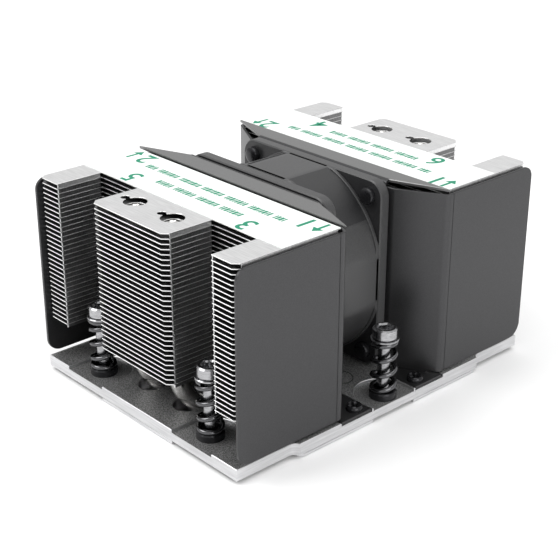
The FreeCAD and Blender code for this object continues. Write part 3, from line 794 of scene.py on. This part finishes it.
# Fasteners
def make_tab_screws():
    plus = []
    for k in range(4):
        spin = math.radians(90 * k)
        for px, py in ((0.28, 0.28), (1.35, 0.28), (1.35, -0.28), (0.28, -0.28)):
            x = px * math.cos(spin) + py * math.sin(spin)
            y = -px * math.sin(spin) + py * math.cos(spin)
            plus.append((TAB_SCREW[0] + x, TAB_SCREW[1] + y))
    clean = []
    for p in plus:
        if not clean or math.hypot(p[0] - clean[-1][0], p[1] - clean[-1][1]) > 1e-4:
            clean.append(p)
    if math.hypot(clean[0][0] - clean[-1][0], clean[0][1] - clean[-1][1]) < 1e-4:
        clean.pop()
    shank = [(0, 1.3), (1.2, 1.3), (1.2, 4.7), (2.5, 4.7), (2.5, 5.3), (0, 5.3)]
    low = turned(shank, 32, 0, *TAB_SCREW)
    cap = plate(circle(2.5, 32, *TAB_SCREW), [clean], 5.2, 6.2, 0.6, 0.0)
    form = Form()
    for move in QUARTERS:
        form.join(low, move)
        form.join(cap, move)
    placed(form, "tab_fasteners", [black_steel], ROOT, ["tab_screws"], 50.0)


def six_lobes(radius, x=0.0, y=0.0, count=72):
    loop = []
    for k in range(count):
        angle = 2 * math.pi * k / count
        r = radius * (1 - 0.14 * (0.5 - 0.5 * math.cos(6 * angle)))
        loop.append((x + r * math.cos(angle), y + r * math.sin(angle)))
    return loop


def make_screws():
    for number, (x, y) in SCREWS.items():
        body, slider = f"screw_{number}_body", f"screw_{number}_slider"
        low = [(0, 0.1), (1.6, 0.1), (1.9, 0.4), (1.9, 23.0), (HEAD - 0.3, 23.0)]
        low += [(HEAD, 23.3), (HEAD, 24.1)]
        form = turned(low + [(0, 24.1)], 40, 0, x, y)
        socket = six_lobes(2.1, x, y)
        form.join(plate(circle(HEAD, 40, x, y), [socket], 24.1, HEAD_TOP, 0.45, 0.0))
        placed(form, f"bolt_{number}", [steel], body, [f"cooler_screw_{number}"])
        ring = [(1.95, 0.4), (3.0, 0.4), (3.0, 0.9), (1.95, 0.9), (1.95, 0.4)]
        placed(
            turned(ring, 32, 0, x, y),
            f"clip_{number}",
            [steel],
            body,
            [f"retaining_ring_{number}"],
        )
        washer = [(2.1, 22.4), (4.1, 22.4), (4.25, 22.55), (4.25, 22.8), (4.1, 22.96), (2.1, 22.96)]
        placed(
            turned(washer + washer[:1], 40, 0, x, y),
            f"disc_{number}",
            [steel],
            slider,
            [f"screw_washer_{number}"],
            30.0,
        )
        sleeve = [(2.0, 1.0), (2.6, 1.0), (2.6, 3.8), (4.1, 3.8), (4.1, 5.6)]
        sleeve += [(3.8, 6.0), (2.0, 6.0)]
        placed(
            turned(sleeve + sleeve[:1], 40, 0, x, y),
            f"sleeve_{number}",
            [black_steel],
            ROOT,
            [f"screw_ferrule_{number}"],
            30.0,
        )
        make_spring(number, x, y)


def make_spring(number, x, y):
    turns, radius, wire, low, height = 4.5, 3.35, 0.74, 6.0, 16.4
    steps = 28 * 5
    flat = 0.7 / turns
    path = []
    for k in range(steps + 1):
        share = k / steps
        rise = min(max((share - flat) / (1 - 2 * flat), 0.0), 1.0)
        angle = 2 * math.pi * turns * share + 0.6 * number
        z = low + wire + rise * (height - 2 * wire)
        path.append((x + radius * math.cos(angle), y + radius * math.sin(angle), z))
    obj = placed(
        tube(path, wire, 12),
        f"coil_{number}",
        [spring_steel],
        ROOT,
        [f"screw_spring_{number}"],
        50.0,
    )
    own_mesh(obj)


def paint_nodes():
    """Finishes of the CAD pieces that are shown as they are."""
    paints = {
        "fan_impeller": fan_plastic,
        "rotor_yoke": steel,
        "rotor_magnet": magnet_black,
        "rotor_shaft": steel,
        "front_bearing": steel,
        "rear_bearing": steel,
        "stator_core": steel,
        "stator_windings": copper,
        "fan_circuit_board": board_green,
    }
    for name, mat in paints.items():
        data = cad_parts[name].data
        data.materials.clear()
        data.materials.append(mat)


# Stage
def make_stage():
    mesh = bpy.data.meshes.new("floor")
    mesh.from_pydata([(-3, -3, 0), (3, -3, 0), (3, 3, 0), (-3, 3, 0)], [], [(0, 1, 2, 3)])
    floor = bpy.data.objects.new("floor", mesh)
    floor.location.z = -0.0001
    mesh.materials.append(shader("floor_white", (0.92, 0.92, 0.92), 0.0, 0.7)[0])
    bpy.context.scene.collection.objects.link(floor)
    world = bpy.data.worlds.new("studio")
    world.use_nodes = True
    background = world.node_tree.nodes["Background"]
    background.inputs["Color"].default_value = (1.0, 1.0, 1.0, 1.0)
    background.inputs["Strength"].default_value = 0.8
    bpy.context.scene.world = world
    lights = (
        ("key", (-0.35, -0.55, 0.75), 0.55, 4.6),
        ("top", (0.05, 0.15, 0.85), 0.7, 2.4),
        ("fill", (0.75, -0.15, 0.35), 0.5, 2.2),
    )
    for name, place, size, power in lights:
        data = bpy.data.lights.new(name, "AREA")
        data.shape = "SQUARE"
        data.size = size
        data.energy = power
        lamp = bpy.data.objects.new(name, data)
        lamp.location = place
        direction = Vector((0, 0, 0.03)) - Vector(place)
        lamp.rotation_euler = direction.to_track_quat("-Z", "Y").to_euler()
        bpy.context.scene.collection.objects.link(lamp)


def make_camera():
    azimuth, elevation, roll = math.radians(47.40), math.radians(23.98), math.radians(0.165)
    back = Vector(
        (
            math.sin(azimuth) * math.cos(elevation),
            -math.cos(azimuth) * math.cos(elevation),
            math.sin(elevation),
        )
    )
    right = Vector((math.cos(azimuth), math.sin(azimuth), 0.0))
    up = back.cross(right)
    tilt = Matrix.Rotation(roll, 3, back)
    right, up = tilt @ right, tilt @ up
    data = bpy.data.cameras.new("camera")
    data.sensor_width = 36.0
    data.lens = 81.41
    data.shift_x = -0.0012
    data.shift_y = -0.0091
    data.clip_start = 0.01
    camera = bpy.data.objects.new("camera", data)
    place = Vector((0.00073, -0.00325, 0.030)) + back * 0.38717
    rotation = Matrix((right, up, back)).transposed().to_4x4()
    camera.matrix_world = Matrix.Translation(place) @ rotation
    bpy.context.scene.collection.objects.link(camera)
    bpy.context.scene.camera = camera


def main():
    make_base()
    make_fins()
    make_pipes()
    make_labels()
    make_shrouds()
    make_fan_frame()
    make_fan_screws()
    make_tab_screws()
    make_screws()
    paint_nodes()
    make_stage()
    make_camera()
    scene = bpy.context.scene
    scene.view_settings.view_transform = "Standard"
    scene.view_settings.exposure = 0.0
    bpy.context.view_layer.update()


main()
